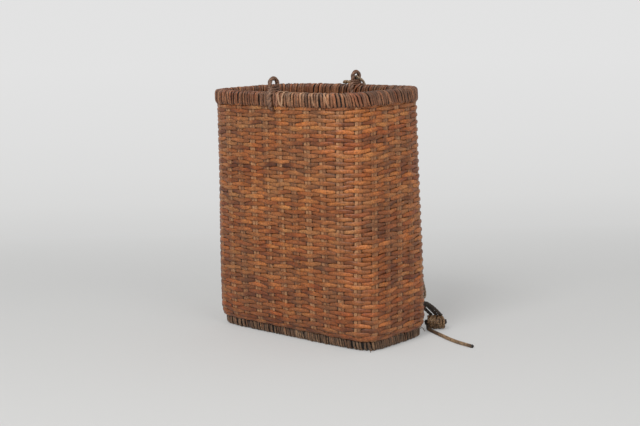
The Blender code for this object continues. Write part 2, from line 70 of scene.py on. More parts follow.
def skin(height, angle, inward, drawn_in=0.0):
    """Points of the rounded rectangle that the body is at each height, and the ways out."""
    half_length = at_height(height, *LENGTHS) / 2 - drawn_in
    half_depth = at_height(height, *DEPTHS) / 2 - drawn_in
    squareness = at_height(height, *SQUARENESSES)
    along, across = np.cos(angle), np.sin(angle)
    size = (np.abs(along) ** squareness + np.abs(across) ** squareness) ** (1 / squareness)
    along, across = along / size, across / size
    out_x = powered(along, squareness - 1) / half_length
    out_y = powered(across, squareness - 1) / half_depth
    length = np.hypot(out_x, out_y)
    out = np.stack([out_x / length, out_y / length, np.zeros_like(length)], -1)
    points = np.stack([half_length * along, half_depth * across, height + 0 * length], -1)
    return points - out * np.asarray(inward)[..., None], out


def angle_map():
    """The angle for each height and each share of the way round from the middle of the back."""
    turn = math.pi / 2 + np.linspace(0, math.tau, 1441)
    rows = []
    for height in np.linspace(0, HEIGHT, MAP_ROWS + 1):
        ring, _ = skin(height + 0 * turn, turn, 0 * turn)
        gone = np.append(0, np.cumsum(np.linalg.norm(np.diff(ring, axis=0), axis=1)))
        rows.append(np.interp(np.linspace(0, gone[-1], MAP_COLUMNS + 1), gone, turn))
    return np.array(rows)


ANGLES = angle_map()


def on_body(height, place, inward=0.0, drawn_in=0.0):
    """Points of the body and the ways out there. A place is counted in stake spacings from
    the middle of the back, round by the left side."""
    height, place, inward = np.broadcast_arrays(*(np.asarray(v, float) for v in (height, place, inward)))
    level = np.clip(height / HEIGHT, 0, 0.99999) * MAP_ROWS
    column = (place % STAKE_PAIRS) / STAKE_PAIRS * (MAP_COLUMNS - 0.001)
    i, j = level.astype(int), column.astype(int)
    u, v = level - i, column - j
    low = ANGLES[i, j] * (1 - v) + ANGLES[i, j + 1] * v
    high = ANGLES[i + 1, j] * (1 - v) + ANGLES[i + 1, j + 1] * v
    return skin(height, low * (1 - u) + high * u, inward, drawn_in)


def unit(vectors):
    return vectors / np.linalg.norm(vectors, axis=-1, keepdims=True)


DOMED = np.array([
    (0.5, -0.3), (0.42, 0.1), (0.25, 0.4), (0, 0.5), (-0.25, 0.4),
    (-0.42, 0.1), (-0.5, -0.3), (-0.3, -0.5), (0.3, -0.5),
])
FLAT = np.array([(0.5, 0.0), (0.34, 0.42), (-0.34, 0.42), (-0.5, 0.0), (-0.34, -0.5), (0.34, -0.5)])


def strip(centre, out, width, thickness, section=FLAT, roll=0.0, tone=0.5, painted_shade=0.0, number=0.0, stain=(1, 1, 1),
          edge_shade=0.0):
    """A flat strip of cane along a line, with the way its good face looks at each point. The
    tone goes from dark to pale; the painted shade darkens it where it lies deep and the edge shade along its two
    edges, both standing in for shadow."""
    count = len(centre)
    along = unit(np.gradient(centre, axis=0))
    across = unit(np.cross(out, along))
    facing = np.cross(along, across)
    width, thickness, roll, tone, painted_shade, edge_shade = (
        np.broadcast_to(v, count) for v in (width, thickness, roll, tone, painted_shade, edge_shade)
    )
    side = width[:, None] * section[None, :, 0]
    rise = thickness[:, None] * section[None, :, 1]
    turned_side = side * np.cos(roll)[:, None] - rise * np.sin(roll)[:, None]
    turned_rise = side * np.sin(roll)[:, None] + rise * np.cos(roll)[:, None]
    points = centre[:, None] + across[:, None] * turned_side[..., None] + facing[:, None] * turned_rise[..., None]
    gone = np.append(0, np.cumsum(np.linalg.norm(np.diff(centre, axis=0), axis=1)))
    fibre = np.stack([gone[:, None] + 0 * side, side, number + 0 * side], -1)
    # Painted shade: the amount given, with more along the two edges of the section.
    return {
        "points": points,
        "fibre": fibre,
        "stain": np.broadcast_to(stain, (count, 3))[:, None] + 0 * points,
        "tone": tone[:, None] + 0 * side,
        "painted_shade": painted_shade[:, None] + edge_shade[:, None] * (np.abs(section[None, :, 0]) > 0.4),
    }


def strips_object(name, strips, look):
    """One object from strips, each closed at its two ends."""
    points, fibre, stain, tone, painted_shade, faces, start = [], [], [], [], [], [], 0
    for one in strips:
        rings, sides = one["points"].shape[:2]
        index = start + np.arange(rings * sides).reshape(rings, sides)
        after = np.roll(index, -1, axis=1)
        quads = np.stack([index[:-1], after[:-1], after[1:], index[1:]], -1).reshape(-1, 4)
        faces += quads.tolist()
        if not one.get("joined"):
            faces += [index[0, ::-1].tolist(), index[-1].tolist()]
        else:
            faces += np.stack([index[-1], after[-1], after[0], index[0]], -1).tolist()
        for kept, key in ((points, "points"), (fibre, "fibre"), (stain, "stain")):
            kept.append(one[key].reshape(-1, 3))
        for kept, key in ((tone, "tone"), (painted_shade, "painted_shade")):
            kept.append(one[key].reshape(-1))
        start += rings * sides
    mesh = bpy.data.meshes.new(name)
    mesh.from_pydata(np.concatenate(points).tolist(), [], faces)
    mesh.shade_smooth()
    for key, values in (("fibre", fibre), ("stain", stain)):
        mesh.attributes.new(key, "FLOAT_VECTOR", "POINT").data.foreach_set("vector", np.concatenate(values).ravel())
    for key, values in (("tone", tone), ("painted_shade", painted_shade)):
        mesh.attributes.new(key, "FLOAT", "POINT").data.foreach_set("value", np.concatenate(values))
    mesh.materials.append(look)
    made = bpy.data.objects.new(name, mesh)
    bpy.context.scene.collection.objects.link(made)
    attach(made, "root")
    return made


def node(tree, kind, sources=(), **values):
    """A new node with its settings, and with the sockets or values that feed its inputs."""
    made = tree.nodes.new(kind)
    for key, value in values.items():
        if key in made.inputs:
            made.inputs[key].default_value = value
        else:
            setattr(made, key, value)
    for key, source in dict(sources).items():
        if isinstance(source, bpy.types.NodeSocket):
            tree.links.new(source, made.inputs[key])
        else:
            made.inputs[key].default_value = source
    return made


def cane_group():
    """Split cane: fibres along the strip, specks, blotches, grey weathering, and painted shade in
    the hollows and along the edges. The fibre attribute holds the way along the strip, the way
    across it and its number."""
    tree = bpy.data.node_groups.new("split cane", "ShaderNodeTree")
    face = tree.interface
    for socket, kind in (("Deep", "Color"), ("Main", "Color"), ("Pale", "Color"), ("Grey", "Color"),
                         ("Weathering", "Float"), ("Hollow Shade", "Float"), ("Fibre Contrast", "Float")):
        face.new_socket(name=socket, in_out="INPUT", socket_type="NodeSocket" + kind)
    for socket, kind in (("Color", "Color"), ("Roughness", "Float"), ("Height", "Float")):
        face.new_socket(name=socket, in_out="OUTPUT", socket_type="NodeSocket" + kind)
    given, result = tree.nodes.new("NodeGroupInput").outputs, tree.nodes.new("NodeGroupOutput").inputs

    def attribute(name, socket):
        return node(tree, "ShaderNodeAttribute", attribute_name=name).outputs[socket]

    def noise(vector, scale, detail, roughness):
        made = node(tree, "ShaderNodeTexNoise", {"Vector": vector}, Scale=scale, Detail=detail, Roughness=roughness)
        return made.outputs["Fac"]

    def maths(operation, *values, use_clamp=False):
        made = node(tree, "ShaderNodeMath", enumerate(values), operation=operation, use_clamp=use_clamp)
        return made.outputs[0]

    def vector_maths(operation, sources):
        return node(tree, "ShaderNodeVectorMath", sources, operation=operation).outputs[0]

    def ranged(value, ends):
        return node(tree, "ShaderNodeMapRange", {"Value": value, **ends}).outputs["Result"]

    def mixed(share, first, second):
        return node(tree, "ShaderNodeMix", {0: share, 6: first, 7: second}, data_type="RGBA").outputs[2]

    place = node(tree, "ShaderNodeTexCoord").outputs["Object"]
    drawn_out = vector_maths("MULTIPLY", {0: attribute("fibre", "Vector"), 1: (55.0, 1500.0, 7.3)})
    fibres = noise(drawn_out, 1.0, 3.0, 0.6)
    blotches = noise(place, 70.0, 2.0, 0.55)
    specks = noise(place, 380.0, 2.0, 0.6)
    weather = noise(place, 16.0, 4.0, 0.65)

    tone = maths("ADD", attribute("tone", "Fac"), maths("MULTIPLY_ADD", blotches, 0.9, -0.45), use_clamp=True)
    darker = mixed(ranged(tone, {"From Max": 0.5}), given["Deep"], given["Main"])
    coloured = mixed(ranged(tone, {"From Min": 0.5}), darker, given["Pale"])
    patches = ranged(weather, {"From Min": 0.42, "From Max": 0.70})
    greyed = mixed(maths("MULTIPLY", patches, given["Weathering"], use_clamp=True), coloured, given["Grey"])

    uneven = maths("SUBTRACT", maths("MULTIPLY_ADD", specks, 1.7, fibres), 1.35)
    # Painted shade: the colour darkens where the strips mark a hollow or an edge, by the strength given.
    painted_darkening = maths("MULTIPLY", attribute("painted_shade", "Fac"), given["Hollow Shade"])
    level = maths("SUBTRACT", maths("MULTIPLY", uneven, given["Fibre Contrast"]), painted_darkening)
    shaded = vector_maths("SCALE", {0: greyed, "Scale": maths("ADD", level, 1.0)})
    stained = vector_maths("MULTIPLY", {0: shaded, 1: attribute("stain", "Vector")})
    rough = ranged(weather, {"To Min": 0.32, "To Max": 0.62})
    for socket, source in (("Color", stained), ("Roughness", rough), ("Height", fibres)):
        tree.links.new(source, result[socket])
    return tree


CANE_GROUP = cane_group()


def cane_material(name, deep, main, pale, grey, weathering=0.5, painted_darkening=0.5, contrast=0.6, relief=0.00025):
    """A material of split cane or cord, from four colours that its fibres take."""
    made = bpy.data.materials.new(name)
    made.use_nodes = True
    tree = made.node_tree
    shader = tree.nodes["Principled BSDF"]
    grain = node(tree, "ShaderNodeGroup")
    grain.node_tree = CANE_GROUP
    for socket, value in (("Deep", deep), ("Main", main), ("Pale", pale), ("Grey", grey)):
        grain.inputs[socket].default_value = (*value, 1.0)
    grain.inputs["Weathering"].default_value = weathering
    # How strongly the painted shade darkens hollows and strip edges.
    grain.inputs["Hollow Shade"].default_value = painted_darkening
    grain.inputs["Fibre Contrast"].default_value = contrast
    bump = node(tree, "ShaderNodeBump", {"Height": grain.outputs["Height"]}, Strength=0.6, Distance=relief)
    tree.links.new(grain.outputs["Color"], shader.inputs["Base Color"])
    tree.links.new(grain.outputs["Roughness"], shader.inputs["Roughness"])
    tree.links.new(bump.outputs["Normal"], shader.inputs["Normal"])
    shader.inputs["Specular IOR Level"].default_value = 0.42
    return made


foot_look = cane_material(
    "foot cane", (0.062, 0.029, 0.013), (0.140, 0.070, 0.034), (0.275, 0.163, 0.090), (0.092, 0.060, 0.037),
    painted_darkening=0.95, contrast=1.1,
)


def wound_binding(turns, per_turn, line, width, thickness, seed, tone_spread, sway, crowding, shade,
                  low_stain=(1, 1, 1)):
    """Strips wound round a hoop. The line gives the hoop's section: for a place and an angle
    round it, the middle of the strip and the way its face looks. The sway gives how far a
    turn bows and slants, crowding draws the turns together in twos and threes, the shade
    tints them by their place, and the low stain tints their lower halves."""
    rng = np.random.default_rng(seed)
    spacing = rng.choice([1.0, 1.0 - crowding, 1.0 + 2.2 * crowding], turns, p=[0.3, 0.5, 0.2])
    starts = np.append(0, np.cumsum(spacing)) / spacing.sum() * STAKE_PAIRS
    pitch = STAKE_PAIRS / turns
    share = np.linspace(-0.02, 1.02, per_turn + 1)
    travel = share - 0.9 * np.sin(math.tau * share) / math.tau
    angle = -math.pi * 0.5 + math.tau * share
    strips = []
    for turn in range(turns):
        bow, slant = np.array(sway(starts[turn])) + rng.normal(0, 0.12, 2)
        place = starts[turn] + (starts[turn + 1] - starts[turn]) * travel
        place = place + pitch * (bow * np.cos(angle) - slant * np.sin(angle))
        centre, out = line(place, angle)
        lift = rng.normal(0, 0.00026) + 0.0003 * np.sin(angle + rng.uniform(0, 6))
        lift = lift + rng.uniform(0, 0.0007) * np.clip(np.sin(angle), 0, 1)
        stain = AGED_STAINS[rng.integers(len(AGED_STAINS))] * shade(starts[turn])
        low = np.clip(0.45 - 1.2 * np.sin(angle), 0, 1)[:, None]
        stain = stain * (1 - low) + np.array(low_stain) * low
        # Painted shade along both edges of every turn.
        strips.append(
            strip(centre + out * lift[:, None], out, width * (1 + rng.normal(0, 0.10)), thickness, DOMED,
                  tone=np.clip(rng.normal(0.5, tone_spread), 0, 1), number=turn + 0.5 * seed,
                  stain=stain, edge_shade=0.65)
        )
    return strips


def foot_line(place, angle):
    """Once round the foot hoop: a rounded rectangle, from its top outward and down."""
    lowest = FOOT_STRIP_THICKNESS / 2 + 0.0006
    half_height = (FOOT_HOOP_TOP + 0.0006 - lowest) / 2
    side, rise = powered(np.cos(angle), 0.55), powered(np.sin(angle), 0.55)
    height = lowest + half_height * (1 + rise)
    ring, out = on_body(height * 0 + 0.006, place, 0.0, FOOT_HOOP_INSET)
    ring[..., 2] = height
    centre = ring + out * (FOOT_HOOP_HALF * side)[:, None]
    slope = unit(np.stack([powered(side, 2.6) / FOOT_HOOP_HALF, powered(rise, 2.6) / half_height], -1))
    facing = out * slope[:, :1] + np.array([0, 0, 1.0]) * slope[:, 1:]
    return centre, facing


def foot_sway(place):
    """The turns bow and lean alike all round."""
    return 0.1, 0.6


def foot_shade(place):
    """No place on the foot is tinted."""
    return np.ones(3)


AGED_STAINS = np.array(
    [(1.0, 1.0, 1.0), (1.15, 0.92, 0.80), (0.80, 0.86, 0.92), (1.30, 1.25, 1.15), (0.68, 0.64, 0.62)]
)
foot_strips = wound_binding(
    FOOT_TURNS, 20, foot_line, FOOT_STRIP_WIDTH, FOOT_STRIP_THICKNESS,
    seed=3, tone_spread=0.20, sway=foot_sway, crowding=0.16, shade=foot_shade,
)
# Three loose ends stick out of it: each by its place, and its ways out and heights there.
for place, ends in ((21.6, ((0.0010, 0.012), (0.0045, 0.007), (0.0065, 0.001))),
                    (26.6, ((0.0010, 0.013), (0.0060, 0.010), (0.0100, 0.004))),
                    (26.9, ((0.0010, 0.010), (0.0055, 0.009), (0.0085, 0.007)))):
    spots, outs = zip(*(on_body(up, place + 2.0 * off, 0.0050 - off) for off, up in ends))
    foot_strips.append(
        strip(np.array(spots), np.array(outs), (0.0026, 0.0020, 0.0008), 0.0010,
              tone=0.3, number=place, stain=(0.8, 0.8, 0.8))
    )
foot_binding = strips_object("foot_binding_strips", foot_strips, foot_look)
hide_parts("base_binding")

hoop_look = cane_material(
    "hoop cane", (0.080, 0.038, 0.019), (0.140, 0.068, 0.034), (0.210, 0.115, 0.060), (0.110, 0.075, 0.050)
)
for name in ("base_hoop", "rim_outer_hoop", "rim_inner_hoop"):
    cad[name].data.materials.clear()
    cad[name].data.materials.append(hoop_look)


# ## Woven floor
# Flat split cane in both directions, over one and under one, laid on the foot hoop inside
# the wall. Only its upper face and the underside between the hoops ever show.

FLOOR_STRIP = 0.0094
FLOOR_GAP = 0.0008
FLOOR_STRIP_THICKNESS = 0.0013
FLOOR_MIDDLE = 0.0187
FLOOR_HALF_LENGTH, FLOOR_HALF_DEPTH, FLOOR_SQUARENESS = 0.1725, 0.0745, 7.5


def floor_edge(other, along_x):
    """How far the floor reaches in one direction at a distance in the other."""
    mine, others = FLOOR_HALF_LENGTH, FLOOR_HALF_DEPTH
    if not along_x:
        mine, others = others, mine
    return mine * (1 - min(0.999, abs(other) / others) ** FLOOR_SQUARENESS) ** (1 / FLOOR_SQUARENESS)


def floor_strips():
    rng = np.random.default_rng(11)
    pitch = FLOOR_STRIP + FLOOR_GAP
    made = []
    for along_x, reach in ((True, FLOOR_HALF_DEPTH), (False, FLOOR_HALF_LENGTH)):
        count = int(2 * reach / pitch)
        for number in range(count):
            other = (number - (count - 1) / 2) * pitch
            end = floor_edge(other, along_x)
            way = np.arange(-end, end, pitch / 4)
            crossing = way / pitch + 0.5
            wave = np.cos(math.pi * (crossing - 0.5 + number)) * (1 if along_x else -1)
            height = FLOOR_MIDDLE + wave * FLOOR_STRIP_THICKNESS * 0.52
            flat = np.stack([way, other + 0 * way] if along_x else [other + 0 * way, way], -1)
            centre = np.concatenate([flat, height[:, None]], 1)
            up = np.tile([0.0, 0.0, 1.0], (len(way), 1))
            made.append(
                strip(centre, up, FLOOR_STRIP, FLOOR_STRIP_THICKNESS, tone=rng.uniform(0.25, 0.8), number=number)
            )
    return made


floor_look = cane_material(
    "floor cane", (0.110, 0.050, 0.022), (0.210, 0.105, 0.045), (0.300, 0.175, 0.085), (0.120, 0.095, 0.070)
)
floor = strips_object("woven_floor", floor_strips(), floor_look)
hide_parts("base_panel")


# ## Stakes
# Each stake is two split canes side by side, from the foot hoop up to the rim. The weft
# hides them but for the short lengths that show at every second row.

CANE_WIDTH = 0.0058
CANE_THICKNESS = 0.0016
CANE_APART = 0.0061
STAKE_MIDDLE = 0.0012
STAKE_SPACING = 0.0303
WALL_FOOT = 0.0164
STAKE_PHASE = 0.84
STAKE_LEAN = 0.82
TUCK_IN, TUCK_HEIGHT = 0.0050, 0.018
SWELL, SWELL_FROM, SWELL_HEIGHT = 0.0012, 0.20, 0.18
ROUNDED = np.array(
    [(0.5, -0.2), (0.5, 0.2), (0.28, 0.5), (-0.28, 0.5), (-0.5, 0.2), (-0.5, -0.2), (-0.28, -0.5), (0.28, -0.5)]
)


def stake_spacings(height, number=0):
    """Where a stake stands at a height: each leans a little round the body on its way up."""
    return number + STAKE_PHASE + STAKE_LEAN * height / HEIGHT


def tuck(height):
    """How far the weave draws in near its foot, to meet the foot hoop, less its swell higher up."""
    left = np.maximum(0.0, 1 - (np.asarray(height) - WALL_FOOT) / TUCK_HEIGHT)
    swell = np.clip((np.asarray(height) - SWELL_FROM) / SWELL_HEIGHT, 0, 1)
    return TUCK_IN * left * left - SWELL * swell * swell * (3 - 2 * swell)


stake_look = cane_material(
    "stake cane", (0.165, 0.058, 0.021), (0.300, 0.122, 0.046), (0.420, 0.205, 0.092), (0.190, 0.122, 0.072),
    weathering=0.3, contrast=1.0,
)
stake_rng = np.random.default_rng(5)
for number in range(STAKE_PAIRS):
    height = np.arange(WALL_FOOT + 0.0004, 0.4183, 0.006)
    canes = []
    for side in (-0.5, 0.5):
        sway = np.interp(height, np.linspace(0, HEIGHT, 9), stake_rng.normal(0, 0.008, 9))
        place = stake_spacings(height, number) + side * CANE_APART / STAKE_SPACING + sway
        centre, out = on_body(height, place, tuck(height) + STAKE_MIDDLE)
        tone = stake_rng.uniform(0.2, 0.85)
        canes.append(strip(centre, out, CANE_WIDTH, CANE_THICKNESS, ROUNDED, tone=tone, number=number))
    pair = strips_object(f"stake_{number + 1:02d}_canes", canes, stake_look)
    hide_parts(f"stake_pair_{number + 1:02d}")


# ## Woven wall
# Two flat strands of split cane chase each other up the wall, each over one pair of stakes
# and under the next, so that their stitches lie staggered. Each strand runs on unbroken, but
# is counted in lengths of cane, and every length and every stitch has a tone of its own.

ROWS_PER_METRE = (150.0, 155.0, 161.0)  # at the foot, middle and top
FIRST_ROW, ROWS_HIDDEN = 0.42, 1.4
WEFT_TOP = 0.4015
WEFT_THICKNESS = 0.0022
OVER_STAKE, ON_FACE, UNDER_STAKE = -0.0010, 0.0012, 0.0034
# A stitch from under one stake pair, at 0, to over the next, at 1: it is pinched between
# them where it comes out, and swells again over the next.
DIVE_FROM, DIVE_TO = 0.10, 0.29
PINCH_AT, PINCH_SPREAD = 0.21, 0.05
OVER_FROM, OVER_REACH = 0.52, 0.42
WIDTH_AT = (0.0, 0.14, 0.21, 0.30, 0.50, 0.78, 1.0)
WIDTHS = (1.42, 1.34, 1.00, 1.03, 1.12, 1.20, 1.24)
CANE_LENGTH = 61.7
LENGTH_STAIN = 0.35
CANE_STAINS = np.array([
    (1.0, 1.0, 1.0), (1.00, 0.84, 0.80), (0.88, 1.00, 1.20),
    (1.08, 1.10, 1.05), (0.62, 0.56, 0.58), (1.14, 1.00, 0.88),
])
STAIN_SHARES = np.array([0.32, 0.17, 0.16, 0.13, 0.10, 0.12])
ROUND_BRIGHTNESS_AT = (0, 10, 12, 15, 20, 22, 27, 32)
ROUND_BRIGHTNESS = (0.95, 0.92, 0.92, 1.0, 1.02, 1.12, 1.1, 0.95)
FOOT_SHADE_TOP, FOOT_SHADE_REACH, FOOT_SHADE = 0.13, 0.11, (0.08, 0.16, 0.19)

weft_heights = np.linspace(WALL_FOOT, 0.412, 200)
weft_rows = np.append(
    0, np.cumsum(np.diff(weft_heights) * at_height(weft_heights, *ROWS_PER_METRE)[:-1])
)
half_stitch = np.array([0.0, 0.10, 0.16, 0.21, 0.27, 0.38, 0.58, 0.80])
STITCH_RINGS = np.append(half_stitch, 2 - half_stitch[:0:-1])


def eased(share):
    share = np.clip(share, 0, 1)
    return share * share * (3 - 2 * share)


def waver(place, height):
    """How far the rows stray up and down together, as they were beaten down by hand."""
    turn = math.tau * place / STAKE_PAIRS
    stray = 0.0009 * np.sin(9 * turn + 31 * height) + 0.0007 * np.sin(16 * turn - 57 * height + 1)
    stray = stray + 0.0005 * np.sin(29 * turn + 90 * height + 2)
    return stray * np.clip((height - WALL_FOOT) / 0.03, 0, 1) * np.clip((0.4 - height) / 0.03, 0, 1)


def weft_strand(which, seed):
    """One strand from the foot to the rim, over a pair of stakes and under the next."""
    rng = np.random.default_rng(seed)
    last_row = np.interp(WEFT_TOP, weft_heights, weft_rows)
    steps = np.arange(0, (last_row + ROWS_HIDDEN - which) / 2 * STAKE_PAIRS, 0.25)

    def row_height(places):
        rows = np.maximum(FIRST_ROW, which - ROWS_HIDDEN + 2 * places / STAKE_PAIRS)
        return np.interp(rows, weft_rows, weft_heights)

    from_under = steps - stake_spacings(row_height(steps)) + which + 1
    periods = np.arange(math.ceil(from_under[0] / 2), from_under[-1] // 2)
    along = (2 * periods[:, None] + STITCH_RINGS).ravel()
    places = np.interp(along, from_under, steps)
    height = row_height(places) + waver(places, row_height(places))
    to_under = np.abs((along + 1) % 2 - 1)
    stitches = len(periods) + 3
    at = along / 2 - periods[0] + 0.5

    def per_stitch(values):
        return values[at.astype(int)]

    def blended(values):
        return np.interp(at, np.arange(stitches) + 0.5, values)

    pitch = 1 / at_height(height, *ROWS_PER_METRE)
    outer = eased((to_under - DIVE_FROM) / (DIVE_TO - DIVE_FROM))
    over = eased((to_under - OVER_FROM) / OVER_REACH)
    inward = UNDER_STAKE + (ON_FACE - UNDER_STAKE) * outer + (OVER_STAKE - ON_FACE) * over
    inward = inward + blended(rng.normal(0, 0.00012, stitches))
    height = height + blended(rng.normal(0, 0.00022, stitches))
    height = height + per_stitch(rng.normal(0, 0.00016, stitches)) * outer
    pinch = np.exp(-(((to_under - PINCH_AT) / PINCH_SPREAD) ** 2))
    lens = np.interp(to_under, WIDTH_AT, WIDTHS)
    width = pitch * lens * (1 + per_stitch(rng.normal(0, 0.03, stitches)))
    wall_lean = np.arctan((tuck(height - 0.001) - tuck(height)) / 0.001)
    roll = per_stitch(rng.normal(0, 0.10, stitches)) * outer + wall_lean
    length_number = ((places + 17 * which) // CANE_LENGTH).astype(int)
    length_tone = np.random.default_rng(seed + 50).uniform(0.34, 0.64, length_number[-1] + 2)
    tone = length_tone[length_number] + per_stitch(rng.normal(0, 0.25, stitches)) + 0.10 * over
    kinds = rng.choice(len(CANE_STAINS), stitches, p=STAIN_SHARES)
    length_rng = np.random.default_rng(seed + 70)
    length_kinds = length_rng.choice(len(CANE_STAINS), length_number[-1] + 2, p=STAIN_SHARES)
    stain = (1 - LENGTH_STAIN) * per_stitch(CANE_STAINS[kinds])
    stain = stain + LENGTH_STAIN * CANE_STAINS[length_kinds][length_number]
    # Lighter or darker by place round the body: darker round the back and left side, lightest at the front right
    # corner and along the right side.
    round_brightness = np.interp(places % STAKE_PAIRS, ROUND_BRIGHTNESS_AT, ROUND_BRIGHTNESS)[:, None]
    near_foot = np.clip((FOOT_SHADE_TOP - height) / FOOT_SHADE_REACH, 0, 1)[:, None]
    stain = stain * round_brightness * (1 - near_foot * FOOT_SHADE)
    centre, out = on_body(height, places, tuck(height) + inward)
    # Painted shade: dark where the strand lies sunk behind a stake pair, and along its edges where it is pinched.
    return strip(
        centre, out, width, WEFT_THICKNESS, DOMED, roll=roll, tone=np.clip(tone, 0, 1),
        painted_shade=1 - outer + 1.05 * pinch, number=which * 3.7, stain=stain, edge_shade=0.24 + 0.70 * pinch,
    )


wall_look = cane_material(
    "wall cane", (0.145, 0.037, 0.007), (0.290, 0.086, 0.018), (0.430, 0.158, 0.041), (0.155, 0.089, 0.044),
    painted_darkening=0.58, contrast=1.2,
)
for which, word in enumerate(("first", "second")):
    strand = strips_object(f"{word}_weft_strand", [weft_strand(which, 21 + which)], wall_look)
    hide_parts("woven_wall")


# ## Rim binding
# Flat strips wound close and upright over the two rim hoops and through the weave under
# them, reddish on the left, paler along the near side and dark from there on. A strip
# more is laid over them here and there.

RIM_TURNS = 176
RIM_STRIP_WIDTH = 0.0051
RIM_STRIP_THICKNESS = 0.0021
LASHING_THICKNESS = 0.0015
RIM_MIDDLE_IN, RIM_HALF_DEPTH = 0.00275, 0.0068
RIM_MIDDLE_HEIGHT, RIM_HALF_HEIGHT = 0.40825, 0.0112


def rim_line(place, angle):
    """Once round the rim: down its outer face, in through the weave, and up over the top."""
    side, rise = powered(np.cos(angle), 0.62), powered(np.sin(angle), 0.56)
    height = RIM_MIDDLE_HEIGHT + RIM_HALF_HEIGHT * rise
    centre, out = on_body(height, place, RIM_MIDDLE_IN - RIM_HALF_DEPTH * side)
    slope = unit(np.stack([powered(side, 2.2) / RIM_HALF_DEPTH, powered(rise, 2.6) / RIM_HALF_HEIGHT], -1))
    facing = out * slope[:, :1] + np.array([0, 0, 1.0]) * slope[:, 1:]
    return centre, facing


def rim_sway(place):
    """The turns stand nearly upright on the left of the front, and slant more to the right."""
    at = (0, 11, 17, 20, 21.5, 24, 32)
    bow, slant = (0.3, 0.0, 0.1, 0.6, 0.5, 0.3, 0.3), (0.4, 0.0, 0.1, 0.2, 1.0, 1.2, 0.4)
    return np.interp(place, at, bow), np.interp(place, at, slant)


def rim_shade(place):
    """Reddish on the left, paler along the near side, and dark from there on."""
    at = (0, 10, 15.6, 16.8, 20.6, 21.8, 25, 32)
    tints = ((0.95, 0.74, 0.62), (0.90, 0.68, 0.58), (1.00, 0.80, 0.70), (1.25, 1.12, 1.02), (1.25, 1.12, 1.02),
             (0.90, 0.72, 0.66), (0.85, 0.70, 0.62), (0.95, 0.74, 0.62))
    return np.array([np.interp(place, at, channel) for channel in zip(*tints)])


rim_look = cane_material(
    "rim cane", (0.090, 0.040, 0.019), (0.205, 0.098, 0.049), (0.400, 0.240, 0.142), (0.150, 0.102, 0.066),
    painted_darkening=0.75, contrast=1.0,
)
rim_strips = wound_binding(
    RIM_TURNS, 24, rim_line, RIM_STRIP_WIDTH, RIM_STRIP_THICKNESS,
    seed=8, tone_spread=0.16, sway=rim_sway, crowding=0.04, shade=rim_shade, low_stain=(1.15, 0.84, 0.66),
)
lash_rng = np.random.default_rng(77)


def lashing(place, slant, bow, tone, width, stain, lift):
    """One strip more over the binding, from the inner side over the top and down outside. It
    lifts off the binding, and sinks into it at its two ends."""
    share = np.linspace(-0.5, 0.5, 22)
    angle = math.pi / 2 - share * math.tau
    spot = place + bow * np.cos(angle) - slant * np.sin(angle)
    centre, out = rim_line(spot, angle)
    sunk = np.minimum(1, 5 * (0.5 - np.abs(share)))
    centre = centre + out * (lift * sunk)[:, None]
    # Painted shade along both edges of the strip.
    return strip(centre, out, width, LASHING_THICKNESS, DOMED,
                 tone=tone, number=place * 7, stain=stain, edge_shade=0.5)


for place in np.arange(0.3, STAKE_PAIRS, 0.9):
    place = place + lash_rng.uniform(-0.3, 0.3)
    rim_strips.append(
        lashing(place, lash_rng.uniform(-0.05, 0.22), lash_rng.normal(0, 0.05), lash_rng.uniform(0.3, 0.7),
                lash_rng.uniform(0.0034, 0.0046), rim_shade(place), lash_rng.uniform(0.0006, 0.0012))
    )
rim_binding = strips_object("rim_binding_strips", rim_strips, rim_look)
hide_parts("rim_binding")


# ## Standing rings
# Two canes twisted together and bent right round the rim, in through the weave under it
# and over it in an arch, one at the middle of the front and one at the back.

RING_ROD = 0.0066
RIM_FOOT = 0.3965
RIM_HOOP_TOP = 0.4185
RING_RISE = 0.0258
RING_TURN = 0.0046
RING_NECK = 0.0088
OUTER_LEG = 0.0082
INNER_LEG = -0.0137
LASHED_OUT, LASHED_ASIDE = 0.0122, 0.0040
NECK_STRIP_WIDTH, NECK_STRIP_THICKNESS = 0.0034, 0.0012
KNOB_ABOVE = 0.0042
RING_MIDDLE = -0.00275
RING_PASS = 0.3927
FRONT_PLACE = stake_spacings(RING_PASS, 14) + 0.67
BACK_PLACE = stake_spacings(RING_PASS, -2) + 0.425

rim_ring, _ = on_body(RIM_HOOP_TOP, np.linspace(0, STAKE_PAIRS, 1441)[:-1])
ROUND_THE_RIM = float(np.linalg.norm(rim_ring - np.roll(rim_ring, 1, axis=0), axis=1).sum())


def by_the_rim(place, outward, height, aside=0.0):
    """The point this far out from the weave, in line with the lean of the rim."""
    around = np.array([RIM_FOOT, RIM_HOOP_TOP])
    spot = place + aside * STAKE_PAIRS / ROUND_THE_RIM
    ends, outs = on_body(around, np.array([spot, spot]))
    share = (height - RIM_FOOT) / (RIM_HOOP_TOP - RIM_FOOT)
    return ends[0] + (ends[1] - ends[0]) * share + outs[1] * outward


def smooth_line(points, step, joined=False):
    """Points a step apart on a smooth curve through the given ones."""
    points = np.array(points)
    if joined:
        ends = np.vstack([points[-1], points, points[:2]])
    else:
        ends = np.vstack([2 * points[0] - points[1], points, 2 * points[-1] - points[-2]])
    t = np.linspace(0, 1, 24, endpoint=False)[:, None]
    fine = [
        0.5 * (2 * b + (c - a) * t + (2 * a - 5 * b + 4 * c - d) * t**2 + (3 * b - a - 3 * c + d) * t**3)
        for a, b, c, d in zip(ends, ends[1:], ends[2:], ends[3:])
    ]
    fine = np.vstack([*fine, ends[-2]])
    gone = np.append(0, np.cumsum(np.linalg.norm(np.diff(fine, axis=0), axis=1)))
    at = np.linspace(0, gone[-1], max(3, round(gone[-1] / step)) + 1)
    if joined:
        at = at[:-1]
    return np.stack([np.interp(at, gone, fine[:, axis]) for axis in range(3)], -1)


